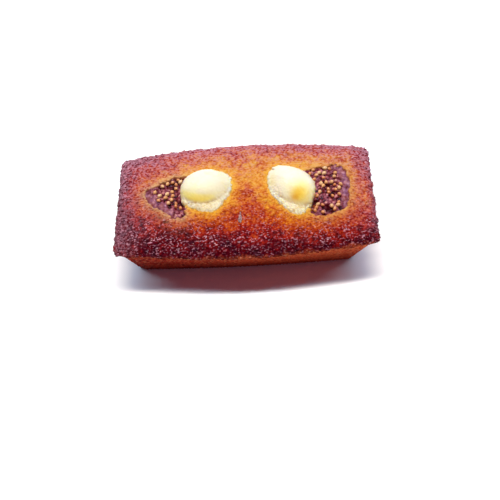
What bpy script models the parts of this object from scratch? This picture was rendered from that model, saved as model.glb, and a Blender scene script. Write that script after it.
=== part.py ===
"""A financier: a small almond cake baked in a tapered bar tin, with two cut figs and two
dollops of cream cheese baked into its top.

Metres, +Z up. The bar lies along X on its flat base, and the origin is the middle of the base.
"""

import math
import random
from collections import namedtuple

import bmesh
import bpy
from mathutils import Matrix, Vector, noise

MM = 0.001

# Plan outlines of the bar: its long sides swell at the middle, and its corners are round.
Plan = namedtuple("Plan", "length width_at_ends width_at_middle corner")
RIM = Plan(95.8 * MM, 43.4 * MM, 52.0 * MM, 2.6 * MM)
BASE = Plan(81.0 * MM, 35.6 * MM, 37.8 * MM, 3.2 * MM)

# Heights of the bar, from the table up
RIM_HEIGHT = 18.2 * MM
LIP_DROP = 2.2 * MM
LIP_OVERHANG = 1.1 * MM
BASE_EDGE_RADIUS = 1.5 * MM
SHOULDER_RISE = 2.0 * MM
SHOULDER_RUN = 2.0 * MM
CROWN_RISE = 2.6 * MM

# How uneven the crust is
SWELL_DEPTH, SWELL_SPACING = 0.5 * MM, 14 * MM
CRAG_DEPTH, CRAG_SPACING = 0.32 * MM, 3.4 * MM
LIP_RAGGED, LIP_RAGGED_SPACING = 0.45 * MM, 4.2 * MM
SIDE_PIT_DEPTH, SIDE_PIT_SPACING = 0.18 * MM, 3.0 * MM

# Where the rim spilled over the tin's front corners, and where it is nicked
RimMark = namedtuple("RimMark", "x y outward reach")
RIM_MARKS = (
    RimMark(-47.0 * MM, -21.0 * MM, 0.4 * MM, 5.0 * MM),
    RimMark(47.0 * MM, -21.0 * MM, 0.4 * MM, 4.0 * MM),
    RimMark(47.9 * MM, -10.4 * MM, -1.2 * MM, 1.2 * MM),
)

# Mesh of the bar
TOP_CELLS_ALONG, TOP_CELLS_ACROSS = 60, 29
SIDE_RINGS = 4
BASE_EDGE_RINGS = 2

# Plan outlines of what is baked into the top, in millimetres: a smooth closed curve runs through the
# points. A fig's outline runs on under the cream, which hides it there.
FIG_LEFT_POINTS = (
    (-37.0, 3.2), (-30.8, 6.6), (-26.9, 8.6), (-20.0, 8.6), (-18.5, 0.0),
    (-21.7, -5.0), (-22.1, -9.2), (-25.7, -9.3), (-31.3, -5.0), (-35.3, -1.6),
)
FIG_RIGHT_POINTS = (
    (22.0, 8.4), (30.5, 10.5), (36.2, 10.6), (38.7, 6.5), (38.7, -2.5), (36.7, -8.0),
    (32.7, -10.6), (28.3, -11.6), (24.7, -10.2), (22.9, -5.0), (21.5, 2.0),
)
CREAM_LEFT_POINTS = (
    (-23.0, 3.5), (-22.8, -1.4), (-21.4, -4.2), (-17.2, -6.4), (-12.7, -7.8), (-9.5, -6.3), (-7.4, -3.2),
    (-5.2, 0.4), (-4.6, 4.8), (-6.7, 9.2), (-13.0, 11.0), (-19.3, 9.0),
)
CREAM_RIGHT_POINTS = (
    (11.9, 11.0), (9.4, 7.2), (9.1, 2.8), (10.3, -1.8), (13.3, -6.0), (15.9, -8.6),
    (18.8, -10.5), (22.1, -9.4), (24.1, -6.2), (25.9, -0.4), (24.7, 6.0), (19.1, 10.6),
)
CURVE_STEPS = 4

# Middles that each solid's faces fan out from. A fig's is in the part that the cream leaves open.
FIG_LEFT_MIDDLE = (-29.1 * MM, 0.2 * MM)
FIG_RIGHT_MIDDLE = (32.1 * MM, -0.4 * MM)
CREAM_LEFT_MIDDLE = (-13.7 * MM, 2.0 * MM)
CREAM_RIGHT_MIDDLE = (17.5 * MM, 0.6 * MM)

# The ball that stands on a dollop's foot: its middle, its three half sizes and its turn in degrees
Ball = namedtuple("Ball", "x y half_length half_width half_height turn")
BALL_LEFT = Ball(-14.4 * MM, 3.8 * MM, 9.0 * MM, 7.1 * MM, 4.7 * MM, 18)
BALL_RIGHT = Ball(18.1 * MM, 2.8 * MM, 8.8 * MM, 7.4 * MM, 4.9 * MM, -40)
BALL_SINK = 0.9 * MM

CREAM_SEAT = 2.4 * MM
CREAM_FOOT_RISE = 0.75 * MM
CREAM_FOOT_RINGS = 3
BALL_SEGMENTS, BALL_RINGS = 28, 14

FIG_THICKNESS = 3.4 * MM
FIG_SINK = 0.7 * MM
FIG_SKIN_WIDTH = 2.3 * MM
FIG_PULP_DEPTH, FIG_PULP_SPACING = 0.45 * MM, 2.6 * MM
FIG_POINTS = 44
FIG_RINGS = 6

# Clearance between one piece and the next, the size of a sliver that a cut leaves, and the decimals
# of a metre by which places are put in order
GAP = 0.3 * MM
SLIVER = 0.02 * MM
DECIMALS = 7

# Fig seeds: teardrops, half sunk in the pulp, spread by random draws that keep them apart
SEED_LENGTH, SEED_WIDTH = 1.45 * MM, 1.15 * MM
SEED_TAPER = 0.35
SEED_SHOWS = 0.2 * MM
SEED_MOST_TILT = 0.5
SEED_SPACING = 1.75 * MM
SEED_SEGMENTS, SEED_RINGS = 6, 4
SEED_COUNT_LEFT, SEED_COUNT_RIGHT = 20, 34
SEED_DRAW = 7
SEED_TRIES = 4000

CRUST_BROWN = (0.50, 0.17, 0.05)
CREAM_IVORY = (0.94, 0.88, 0.66)
FIG_PURPLE = (0.22, 0.08, 0.07)


def clear_scene():
    for old in list(bpy.data.objects):
        bpy.data.objects.remove(old)


def material(name, colour, roughness):
    made = bpy.data.materials.new(name)
    made.use_nodes = True
    shader = made.node_tree.nodes["Principled BSDF"]
    shader.inputs["Base Color"].default_value = (*colour, 1)
    shader.inputs["Roughness"].default_value = roughness
    shader.inputs["Metallic"].default_value = 0
    return made


def add_object(name, builder, finish=None):
    """Turns a bmesh into an object of the scene, with its faces pointing out."""
    bmesh.ops.recalc_face_normals(builder, faces=builder.faces)
    mesh = bpy.data.meshes.new(name)
    builder.to_mesh(mesh)
    builder.free()
    made = bpy.data.objects.new(name, mesh)
    bpy.context.scene.collection.objects.link(made)
    if finish is not None:
        mesh.materials.append(finish)
    return made


def apply_boolean(target, operation, helpers):
    """Cuts the helper objects from the target, or joins them to it, and removes them."""
    group = bpy.data.collections.new(target.name + "_helpers")
    for helper in helpers:
        group.objects.link(helper)
    boolean = target.modifiers.new(operation.lower(), "BOOLEAN")
    boolean.operation = operation
    boolean.operand_type = "COLLECTION"
    boolean.collection = group
    boolean.solver = "EXACT"
    graph = bpy.context.evaluated_depsgraph_get()
    result = bpy.data.meshes.new_from_object(target.evaluated_get(graph))
    target.modifiers.clear()
    target.data = result
    put_in_order(result)
    weld_slivers(result)
    for helper in helpers:
        bpy.data.objects.remove(helper)
    bpy.data.collections.remove(group)


def put_in_order(mesh):
    """Remakes a mesh with its points and faces in order of place, because a cut leaves them in any order."""
    places = [tuple(vertex.co) for vertex in mesh.vertices]
    order = sorted(range(len(places)), key=lambda index: [round(value, DECIMALS) for value in places[index]])
    rank = {index: position for position, index in enumerate(order)}
    faces = []
    for polygon in mesh.polygons:
        corners = [rank[index] for index in polygon.vertices]
        first = corners.index(min(corners))
        faces.append(corners[first:] + corners[:first])
    mesh.clear_geometry()
    mesh.from_pydata([places[index] for index in order], [], sorted(faces))


def weld_slivers(mesh):
    """Merges the points that a cut left almost on top of each other, and makes every face a triangle."""
    builder = bmesh.new()
    builder.from_mesh(mesh)
    bmesh.ops.remove_doubles(builder, verts=builder.verts, dist=SLIVER)
    bmesh.ops.triangulate(builder, faces=builder.faces)
    bmesh.ops.dissolve_degenerate(builder, edges=builder.edges, dist=SLIVER)
    bmesh.ops.triangulate(builder, faces=builder.faces)
    builder.to_mesh(mesh)
    builder.free()


# The bar


def between(a, b, share):
    return a + (b - a) * share


def blended(first, second, share):
    return Plan(*(between(a, b, share) for a, b in zip(first, second)))


def shrunk(plan, inset):
    return Plan(
        plan.length - 2 * inset,
        plan.width_at_ends - 2 * inset,
        plan.width_at_middle - 2 * inset,
        plan.corner,
    )


def half_width_at(x, plan):
    """Half the bar's width at x, wider at the middle than at the ends."""
    along = min(1, abs(2 * x / plan.length))
    return between(plan.width_at_middle, plan.width_at_ends, along**2) / 2


def bar_point(u, v, plan):
    """The place of (u, v), each from -1 to 1, in a plan whose corners are drawn in to arcs."""
    half_length, half_width = plan.length / 2, plan.width_at_ends / 2
    x, y = u * half_length, v * half_width
    past_x = abs(x) - (half_length - plan.corner)
    past_y = abs(y) - (half_width - plan.corner)
    if past_x > 0 and past_y > 0:
        pull = max(past_x, past_y) / math.hypot(past_x, past_y)
        x = math.copysign(half_length - plan.corner + past_x * pull, x)
        y = math.copysign(half_width - plan.corner + past_y * pull, y)
    return x, y * half_width_at(x, plan) / half_width


def wobble(x, y, z, spacing, offset=0.0):
    """Smooth noise from about -1 to 1, whose bumps are about this spacing apart."""
    return noise.noise(Vector((x / spacing + offset, y / spacing, z / spacing))) * 1.6


def crust_height(x, y):
    """Height of the smooth crust: a rounded shoulder inside the rim, then a low crown."""
    half_length, half_width = RIM.length / 2, half_width_at(x, RIM)
    u, v = min(1, abs(x) / half_length), min(1, abs(y) / half_width)
    inside = -SHOULDER_RUN * math.log(
        math.exp(-(1 - u) * half_length / SHOULDER_RUN) + math.exp(-(1 - v) * half_width / SHOULDER_RUN)
    )
    shoulder = 1 - math.exp(-max(0, inside) / SHOULDER_RUN)
    crown = (1 - u**2) * (1 - v**2)
    swell = SWELL_DEPTH * wobble(x, y, 0, SWELL_SPACING) * shoulder
    return RIM_HEIGHT + SHOULDER_RISE * shoulder + CROWN_RISE * crown + swell


def crust_crags(x, y):
    return CRAG_DEPTH * wobble(x, y, 0, CRAG_SPACING, offset=20)


def rim_push(x, y):
    """How far the rim stands out from its plan at a point: ragged all round, with spills and a nick."""
    push = LIP_RAGGED * wobble(x, y, 0, LIP_RAGGED_SPACING, offset=40)
    for mark in RIM_MARKS:
        away = math.hypot(x - mark.x, y - mark.y) / mark.reach
        push += mark.outward * math.exp(-(away**2))
    return push


def push_out(vertex, distance):
    """Moves a point of the rim or the side away from the bar's middle."""
    direction = Vector((vertex.co.x / RIM.length, vertex.co.y / RIM.width_at_ends, 0))
    vertex.co += direction.normalized() * distance


def side_levels():
    """Plan and height of each ring of the side, from just under the lip down to the base."""
    neck = shrunk(blended(RIM, BASE, LIP_DROP / RIM_HEIGHT), LIP_OVERHANG / 2)
    yield shrunk(RIM, LIP_OVERHANG / 3), RIM_HEIGHT - LIP_DROP / 2
    for ring in range(SIDE_RINGS + 1):
        share = ring / SIDE_RINGS
        yield blended(neck, BASE, share), between(RIM_HEIGHT - LIP_DROP, BASE_EDGE_RADIUS, share)
    for ring in range(1, BASE_EDGE_RINGS + 1):
        turn = math.radians(90) * ring / BASE_EDGE_RINGS
        inset = BASE_EDGE_RADIUS * (1 - math.cos(turn))
        yield shrunk(BASE, inset), BASE_EDGE_RADIUS * (1 - math.sin(turn))


def build_bar(finish):
    """The crust is a grid, its border is drawn down the tin's side, and a flat face closes the base."""
    builder = bmesh.new()
    bmesh.ops.create_grid(builder, x_segments=TOP_CELLS_ALONG, y_segments=TOP_CELLS_ACROSS, size=1)
    border = [edge for edge in builder.edges if edge.is_boundary]
    square_place = {}
    for vertex in builder.verts:
        u, v = vertex.co.x, vertex.co.y
        square_place[vertex] = (u, v)
        x, y = bar_point(u, v, RIM)
        vertex.co = (x, y, crust_height(x, y) + crust_crags(x, y))
        if vertex.is_boundary:
            push_out(vertex, rim_push(x, y))
    for plan, height in side_levels():
        grown = bmesh.ops.extrude_edge_only(builder, edges=border)["geom"]
        old_ring = {vertex for edge in border for vertex in edge.verts}
        for vertex in [item for item in grown if isinstance(item, bmesh.types.BMVert)]:
            above = next(e.other_vert(vertex) for e in vertex.link_edges if e.other_vert(vertex) in old_ring)
            square_place[vertex] = square_place[above]
            vertex.co = (*bar_point(*square_place[vertex], plan), height)
            if height > RIM_HEIGHT - LIP_DROP:
                push_out(vertex, rim_push(vertex.co.x, vertex.co.y))
            elif height > BASE_EDGE_RADIUS:
                push_out(vertex, SIDE_PIT_DEPTH * wobble(*vertex.co, SIDE_PIT_SPACING))
        border = [item for item in grown if isinstance(item, bmesh.types.BMEdge)]
    bmesh.ops.contextual_create(builder, geom=border)
    bmesh.ops.triangulate(builder, faces=[face for face in builder.faces if len(face.verts) > 4])
    return add_object("cake", builder, finish)


# Outlines of the figs and the cream


def smooth_loop(points):
    """A closed Catmull-Rom curve through points in millimetres, as a list of points in metres."""
    loop = []
    count = len(points)
    for index in range(count):
        p0, p1, p2, p3 = (Vector(points[(index + shift) % count]) * MM for shift in (-1, 0, 1, 2))
        for step in range(CURVE_STEPS):
            t = step / CURVE_STEPS
            bend = (2 * p0 - 5 * p1 + 4 * p2 - p3) * t**2 + (3 * p1 - p0 - 3 * p2 + p3) * t**3
            loop.append(p1 + ((p2 - p0) * t + bend) / 2)
    return loop


def sides_of(loop):
    return zip(loop, loop[1:] + loop[:1])


def depth_inside(loop, x, y):
    """Distance from a point to a closed outline, positive inside it and negative outside."""
    spot = Vector((x, y))
    nearest = math.inf
    crossings = 0
    for start, end in sides_of(loop):
        side = end - start
        share = min(1, max(0, (spot - start).dot(side) / side.length_squared))
        nearest = min(nearest, (spot - start - side * share).length)
        if (start.y > y) != (end.y > y):
            crossings += x < start.x + (y - start.y) * side.x / side.y
    return nearest if crossings % 2 else -nearest


def grown_loop(loop, distance):
    """The outline moved outwards all round, square to its own direction."""
    grown = []
    for index, point in enumerate(loop):
        along = loop[(index + 1) % len(loop)] - loop[index - 1]
        outward = Vector((along.y, -along.x)).normalized()
        step = point + outward * distance
        if depth_inside(loop, *step) > 0:
            step = point - outward * distance
        grown.append(step)
    return grown


def open_loop(fig, cream, middle):
    """The outline of what the cream leaves open of a fig: each ray from the middle stops at either edge."""
    points = []
    for step in range(FIG_POINTS):
        angle = 2 * math.pi * step / FIG_POINTS
        ray = Vector((math.cos(angle), math.sin(angle)))
        point = Vector(middle)
        room = math.inf
        while room > SLIVER:
            room = min(depth_inside(fig, *point), -depth_inside(cream, *point) - GAP)
            point += ray * max(0, room)
        points.append(point)
    return points


def outline_solid(name, middle, loop, levels, finish=None):
    """A closed solid over an outline. Each level is (share of the way out, height at (x, y))."""
    builder = bmesh.new()
    rings = []
    for share, height in levels:
        if share == 0:
            rings.append([builder.verts.new((*middle, height(*middle)))])
            continue
        places = [Vector(middle).lerp(point, share) for point in loop]
        rings.append([builder.verts.new((*place, height(*place))) for place in places])
    for upper, lower in zip(rings, rings[1:]):
        for step in range(len(loop)):
            after = (step + 1) % len(loop)
            corners = (upper[step % len(upper)], upper[after % len(upper)])
            corners += (lower[after % len(lower)], lower[step % len(lower)])
            builder.faces.new(dict.fromkeys(corners))
    return add_object(name, builder, finish)


def pocket_cutter(loop, middle, floor):
    """The space that a filling takes in the bar, a gap wider and deeper than the filling."""
    top = RIM_HEIGHT + 20 * MM
    levels = [(share, lambda x, y: top) for share in (0, 1)]
    levels += [(share, lambda x, y: floor - GAP) for share in (1, 0)]
    return outline_solid("pocket", middle, grown_loop(loop, GAP), levels)


# Figs


def fig_floor(middle):
    return crust_height(*middle) - FIG_SINK - FIG_THICKNESS


def fig_height(loop, x, y):
    """Height of a cut fig's face: lumpy pulp inside a smoother, slightly raised ring of skin."""
    pulp = min(1, max(0, depth_inside(loop, x, y) / FIG_SKIN_WIDTH))
    lumps = FIG_PULP_DEPTH * wobble(x, y, 0, FIG_PULP_SPACING, offset=60) * pulp
    return crust_height(x, y) - FIG_SINK * (1 + pulp) / 2 + lumps


def build_fig(name, loop, cream, middle, seed_count, finish):
    floor = fig_floor(middle)
    levels = [(ring / FIG_RINGS, lambda x, y: fig_height(loop, x, y)) for ring in range(FIG_RINGS + 1)]
    levels += [(share, lambda x, y: floor) for share in (1, 0)]
    fig = outline_solid(name, middle, open_loop(loop, cream, middle), levels, finish)
    apply_boolean(fig, "UNION", [build_seed(loop, *place) for place in seed_places(loop, cream, seed_count)])


def seed_places(loop, cream, count):
    """Spots on the pulp for seeds, apart from each other and clear of the skin and the cream."""
    draw = random.Random(SEED_DRAW)
    x_range = min(point.x for point in loop), max(point.x for point in loop)
    y_range = min(point.y for point in loop), max(point.y for point in loop)
    places = []
    for _ in range(SEED_TRIES):
        x, y = draw.uniform(*x_range), draw.uniform(*y_range)
        turn, tilt = draw.uniform(0, 2 * math.pi), draw.uniform(-SEED_MOST_TILT, SEED_MOST_TILT)
        if any(math.hypot(x - place[0], y - place[1]) < SEED_SPACING for place in places):
            continue
        if depth_inside(loop, x, y) > FIG_SKIN_WIDTH and depth_inside(cream, x, y) < -SEED_LENGTH:
            places.append((x, y, turn, tilt))
        if len(places) == count:
            break
    return places


def build_seed(loop, x, y, turn, tilt):
    """A teardrop: a ball drawn out to a blunt point at one end, lying on the pulp."""
    builder = bmesh.new()
    bmesh.ops.create_uvsphere(builder, u_segments=SEED_SEGMENTS, v_segments=SEED_RINGS, radius=0.5)
    for vertex in builder.verts:
        width = SEED_WIDTH * (1 - SEED_TAPER * max(0, 2 * vertex.co.z))
        vertex.co = (vertex.co.x * width, vertex.co.y * width, vertex.co.z * SEED_LENGTH)
    lie = Matrix.Rotation(turn, 4, "Z") @ Matrix.Rotation(math.radians(90) + tilt, 4, "X")
    place = Matrix.Translation((x, y, fig_height(loop, x, y) + SEED_SHOWS))
    bmesh.ops.transform(builder, matrix=place @ lie, verts=builder.verts)
    return add_object("seed", builder)


# Cream


def cream_floor(middle):
    return crust_height(*middle) - CREAM_SEAT


def foot_height(x, y):
    return crust_height(x, y) + CREAM_FOOT_RISE


def build_dollop(name, loop, middle, ball, finish):
    """A low foot that melted into the crust, and the rounded ball that stands on it."""
    floor = cream_floor(middle)
    levels = [(0.92 * ring / CREAM_FOOT_RINGS, foot_height) for ring in range(CREAM_FOOT_RINGS + 1)]
    levels += [(1, lambda x, y: foot_height(x, y) - CREAM_FOOT_RISE / 2)]
    levels += [(share, lambda x, y: floor) for share in (1, 0)]
    foot = outline_solid(name, middle, loop, levels, finish)

    builder = bmesh.new()
    bmesh.ops.create_uvsphere(builder, u_segments=BALL_SEGMENTS, v_segments=BALL_RINGS, radius=1)
    bmesh.ops.scale(builder, vec=(ball.half_length, ball.half_width, ball.half_height), verts=builder.verts)
    lie = Matrix.Rotation(math.radians(ball.turn), 4, "Z")
    place = Matrix.Translation((ball.x, ball.y, foot_height(ball.x, ball.y) + BALL_SINK))
    bmesh.ops.transform(builder, matrix=place @ lie, verts=builder.verts)
    for vertex in builder.verts:
        vertex.co.z = max(vertex.co.z, floor + MM)
    apply_boolean(foot, "UNION", [add_object("ball", builder)])


def build_financier():
    crust = material("crust", CRUST_BROWN, 0.55)
    cream_cheese = material("cream_cheese", CREAM_IVORY, 0.45)
    fig_flesh = material("fig", FIG_PURPLE, 0.35)

    fig_left, fig_right = smooth_loop(FIG_LEFT_POINTS), smooth_loop(FIG_RIGHT_POINTS)
    cream_left, cream_right = smooth_loop(CREAM_LEFT_POINTS), smooth_loop(CREAM_RIGHT_POINTS)

    cake = build_bar(crust)
    pockets = [
        pocket_cutter(fig_left, FIG_LEFT_MIDDLE, fig_floor(FIG_LEFT_MIDDLE)),
        pocket_cutter(fig_right, FIG_RIGHT_MIDDLE, fig_floor(FIG_RIGHT_MIDDLE)),
        pocket_cutter(cream_left, CREAM_LEFT_MIDDLE, cream_floor(CREAM_LEFT_MIDDLE)),
        pocket_cutter(cream_right, CREAM_RIGHT_MIDDLE, cream_floor(CREAM_RIGHT_MIDDLE)),
    ]
    apply_boolean(cake, "DIFFERENCE", pockets)

    build_fig("fig_left", fig_left, cream_left, FIG_LEFT_MIDDLE, SEED_COUNT_LEFT, fig_flesh)
    build_fig("fig_right", fig_right, cream_right, FIG_RIGHT_MIDDLE, SEED_COUNT_RIGHT, fig_flesh)
    build_dollop("cream_left", cream_left, CREAM_LEFT_MIDDLE, BALL_LEFT, cream_cheese)
    build_dollop("cream_right", cream_right, CREAM_RIGHT_MIDDLE, BALL_RIGHT, cream_cheese)


clear_scene()
build_financier()
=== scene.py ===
import math
import random

import bpy
import numpy as np
from mathutils import Matrix, Vector, noise


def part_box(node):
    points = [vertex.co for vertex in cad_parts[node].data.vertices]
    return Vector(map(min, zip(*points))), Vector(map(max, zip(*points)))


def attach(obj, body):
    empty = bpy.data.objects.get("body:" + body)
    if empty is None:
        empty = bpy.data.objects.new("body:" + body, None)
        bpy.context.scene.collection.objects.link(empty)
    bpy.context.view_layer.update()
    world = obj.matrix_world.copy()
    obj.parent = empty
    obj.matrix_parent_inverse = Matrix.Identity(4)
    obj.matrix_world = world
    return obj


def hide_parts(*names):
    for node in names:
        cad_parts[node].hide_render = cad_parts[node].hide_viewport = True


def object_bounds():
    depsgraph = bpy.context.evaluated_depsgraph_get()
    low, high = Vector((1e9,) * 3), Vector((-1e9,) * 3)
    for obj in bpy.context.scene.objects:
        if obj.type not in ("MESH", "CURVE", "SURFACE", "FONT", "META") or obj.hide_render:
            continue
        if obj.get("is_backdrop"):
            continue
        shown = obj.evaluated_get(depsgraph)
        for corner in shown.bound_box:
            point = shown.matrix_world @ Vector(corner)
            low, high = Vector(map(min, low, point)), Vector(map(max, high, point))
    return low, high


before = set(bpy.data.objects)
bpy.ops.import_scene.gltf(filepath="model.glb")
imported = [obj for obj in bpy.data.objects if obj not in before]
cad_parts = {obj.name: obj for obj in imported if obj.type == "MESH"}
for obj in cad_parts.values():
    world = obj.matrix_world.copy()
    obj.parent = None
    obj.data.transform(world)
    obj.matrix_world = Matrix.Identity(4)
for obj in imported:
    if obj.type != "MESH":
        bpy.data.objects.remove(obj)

cad_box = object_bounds()
bpy.ops.object.select_all(action="DESELECT")

# The bar: a batter of butter, sugar and ground almonds, baked in a buttered bar tin. The top rose to a
# low crown and browned to a rough, sugary crust that spilled over the tin's rim in a ragged lip. The
# sides took the tin's taper and stayed paler. All sizes below are in millimetres.

MM = 0.001

RIM = dict(length=95.8, ends=43.4, middle=52.0, corner=2.6)
BASE = dict(length=81.0, ends=35.6, middle=37.8, corner=3.2)
RIM_HEIGHT = 18.2
LIP_DROP, LIP_OVERHANG = 2.2, 1.1
BASE_EDGE_RADIUS = 1.5
SHOULDER_RISE, SHOULDER_RUN = 2.0, 2.0
CROWN_RISE = 2.6
SWELL_DEPTH, SWELL_SPACING = 0.5, 14.0
CRAG_DEPTH, CRAG_SPACING = 0.32, 3.4
LIP_RAGGED, LIP_RAGGED_SPACING = 0.45, 4.2
RIM_MARKS = ((-47.0, -21.0, 0.4, 5.0), (47.0, -21.0, 0.4, 4.0), (47.9, -10.4, -1.2, 1.2))

TOP_COLUMNS, TOP_ROWS = 318, 168
LIP_RINGS, SIDE_RINGS, BASE_EDGE_RINGS = 6, 24, 4

# Outlines of what is baked into the top, each a few points of a smooth closed curve
FIG_LEFT = (
    (-37.0, 3.2), (-30.8, 6.6), (-26.9, 8.6), (-20.0, 8.6), (-18.5, 0.0),
    (-21.7, -5.0), (-22.1, -9.2), (-25.7, -9.3), (-31.3, -5.0), (-35.3, -1.6),
)
FIG_RIGHT = (
    (22.0, 8.4), (30.5, 10.5), (36.2, 10.6), (38.7, 6.5), (38.7, -2.5), (36.7, -8.0),
    (32.7, -10.6), (28.3, -11.6), (24.7, -10.2), (22.9, -5.0), (21.5, 2.0),
)
CREAM_LEFT = (
    (-23.0, 3.5), (-22.8, -1.4), (-21.4, -4.2), (-17.2, -6.4), (-12.7, -7.8), (-9.5, -6.3), (-7.4, -3.2),
    (-5.2, 0.4), (-4.6, 4.8), (-6.7, 9.2), (-13.0, 11.0), (-19.3, 9.0),
)
CREAM_RIGHT = (
    (11.9, 11.0), (9.4, 7.2), (9.1, 2.8), (10.3, -1.8), (13.3, -6.0), (15.9, -8.6),
    (18.8, -10.5), (22.1, -9.4), (24.1, -6.2), (25.9, -0.4), (24.7, 6.0), (19.1, 10.6),
)


def between(a, b, share):
    return a + (b - a) * share


def plan_between(first, second, share, inset=0.0):
    plan = {key: between(first[key], second[key], share) for key in first}
    for key in ("length", "ends", "middle"):
        plan[key] -= 2 * inset
    return plan


def plan_place(u, v, length, ends, middle, corner):
    """Places of (u, v), each from -1 to 1, in a bar plan with round corners and swelling long sides."""
    x, y = u * length / 2, v * ends / 2
    past_x, past_y = np.abs(x) - (length / 2 - corner), np.abs(y) - (ends / 2 - corner)
    pull = np.maximum(past_x, past_y) / np.maximum(1e-9, np.hypot(past_x, past_y))
    in_corner = (past_x > 0) & (past_y > 0)
    x = np.where(in_corner, np.sign(x) * (length / 2 - corner + past_x * pull), x)
    y = np.where(in_corner, np.sign(y) * (ends / 2 - corner + past_y * pull), y)
    swelling = between(middle, ends, np.minimum(1, np.abs(2 * x / length)) ** 2) / ends
    return x, y * swelling


def wobble(x, y, z, spacing, offset=0.0):
    """Smooth noise from about -1 to 1, whose bumps are about this spacing apart."""
    x, y, z = np.broadcast_arrays(x / spacing + offset, y / spacing, z / spacing)
    return 1.6 * np.array([noise.noise(place) for place in zip(x.ravel(), y.ravel(), z.ravel())])


def patch(x, y, place, reach):
    """1 at a place of the top, fading to 0 all round it over a reach in x and one in y."""
    return np.exp(-(((x - place[0]) / reach[0]) ** 2) - ((y - place[1]) / reach[1]) ** 2)


def rim_depth(x, y):
    """How far inside the rim a place of the top is, with the two nearest sides blended."""
    half_width = between(RIM["middle"], RIM["ends"], np.minimum(1, np.abs(2 * x / RIM["length"])) ** 2) / 2
    to_end, to_side = np.maximum(0, RIM["length"] / 2 - np.abs(x)), np.maximum(0, half_width - np.abs(y))
    blended = np.exp(-to_end / SHOULDER_RUN) + np.exp(-to_side / SHOULDER_RUN)
    return np.maximum(0, -SHOULDER_RUN * np.log(blended)), half_width


def crust_height(x, y):
    """Height of the crust without its crumb: a rounded shoulder inside the rim, then a low crown."""
    x, y = np.atleast_1d(x), np.atleast_1d(y)
    depth, half_width = rim_depth(x, y)
    shoulder = 1 - np.exp(-depth / SHOULDER_RUN)
    u, v = np.minimum(1, np.abs(2 * x / RIM["length"])), np.minimum(1, np.abs(y) / half_width)
    crown = CROWN_RISE * (1 - u**2) * (1 - v**2)
    swell = SWELL_DEPTH * wobble(x, y, 0, SWELL_SPACING) * shoulder
    return RIM_HEIGHT + SHOULDER_RISE * shoulder + crown + swell


def rim_push(x, y):
    """How far the rim stands out from its plan: ragged, with a spill at two corners and a nick."""
    push = LIP_RAGGED * wobble(x, y, 0, LIP_RAGGED_SPACING, offset=40)
    for mark_x, mark_y, outward, reach in RIM_MARKS:
        push += outward * np.exp(-(((x - mark_x) ** 2 + (y - mark_y) ** 2) / reach**2))
    return push


LOOP_STEPS = 8


def smooth_loop(points):
    """A closed curve through a few points, with this many steps from each to the next."""
    here = np.array(points)
    before, after, beyond = (np.roll(here, shift, axis=0) for shift in (1, -1, -2))
    curve = []
    for t in np.arange(LOOP_STEPS) / LOOP_STEPS:
        bend = (2 * before - 5 * here + 4 * after - beyond) * t**2
        bend += (3 * here - before - 3 * after + beyond) * t**3
        curve.append(here + ((after - before) * t + bend) / 2)
    return np.stack(curve, axis=1).reshape(-1, 2)


def depth_inside(loop, x, y):
    """Distance of places to a closed outline, positive inside it and negative outside."""
    spots = np.stack([x, y], axis=-1)[:, None]
    start, side = loop[None], (np.roll(loop, -1, axis=0) - loop)[None]
    share = np.clip(((spots - start) * side).sum(-1) / (side**2).sum(-1), 0, 1)
    nearest = np.linalg.norm(spots - start - side * share[..., None], axis=-1).min(axis=1)
    end = start + side
    straddles = (start[..., 1] > spots[..., 1]) != (end[..., 1] > spots[..., 1])
    rise = np.where(side[..., 1] == 0, 1e-9, side[..., 1])
    crossing = start[..., 0] + (spots[..., 1] - start[..., 1]) * side[..., 0] / rise
    inside = (straddles & (spots[..., 0] < crossing)).sum(axis=1) % 2 == 1
    return np.where(inside, nearest, -nearest)


def read_places(piece):
    """A piece's points, in millimetres."""
    places = np.empty(len(piece.data.vertices) * 3)
    piece.data.vertices.foreach_get("co", places)
    return places.reshape(-1, 3) / MM


def write_places(piece, places):
    piece.data.vertices.foreach_set("co", (places * MM).ravel())
    piece.data.update()


def read_normals(piece):
    normals = np.empty(len(piece.data.vertices) * 3)
    piece.data.vertices.foreach_get("normal", normals)
    return normals.reshape(-1, 3)


def write_mask(piece, name, values):
    """Stores one number for each point, for the piece's material to read."""
    mask = piece.data.attributes.new(name, "FLOAT", "POINT")
    mask.data.foreach_set("value", np.clip(values, 0, 1))


def group_points(piece, name, weights):
    """A vertex group with a weight for each point, in ten steps."""
    group = piece.vertex_groups.new(name=name)
    steps = np.round(np.clip(weights, 0, 1) * 10).astype(int)
    for step in range(1, 11):
        group.add(np.flatnonzero(steps == step).tolist(), step / 10, "REPLACE")


def apply_modifier(piece, modifier):
    bpy.ops.object.select_all(action="DESELECT")
    piece.select_set(True)
    bpy.context.view_layer.objects.active = piece
    bpy.ops.object.modifier_apply(modifier=modifier.name)


def ruffle(piece, texture, depth, group="", middle=0.5):
    """Displaces a piece by a texture, and returns how far each point moved along its normal, by depth."""
    before, normals = read_places(piece), read_normals(piece)
    displace = piece.modifiers.new("ruffle", "DISPLACE")
    displace.texture = texture
    displace.texture_coords = "LOCAL"
    displace.strength = depth * MM
    displace.mid_level = middle
    displace.vertex_group = group
    apply_modifier(piece, displace)
    return ((read_places(piece) - before) * normals).sum(axis=1) / abs(depth)


def cell_texture(name, spacing):
    """Rounded cells this far apart: 0 at a cell's middle."""
    texture = bpy.data.textures.new(name, "VORONOI")
    texture.noise_scale = spacing * MM
    return texture


def cloud_texture(name, spacing):
    """Soft lumps this far apart, with smaller ones on them."""
    texture = bpy.data.textures.new(name, "CLOUDS")
    texture.noise_scale = spacing * MM
    texture.noise_depth = 2
    return texture


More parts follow.
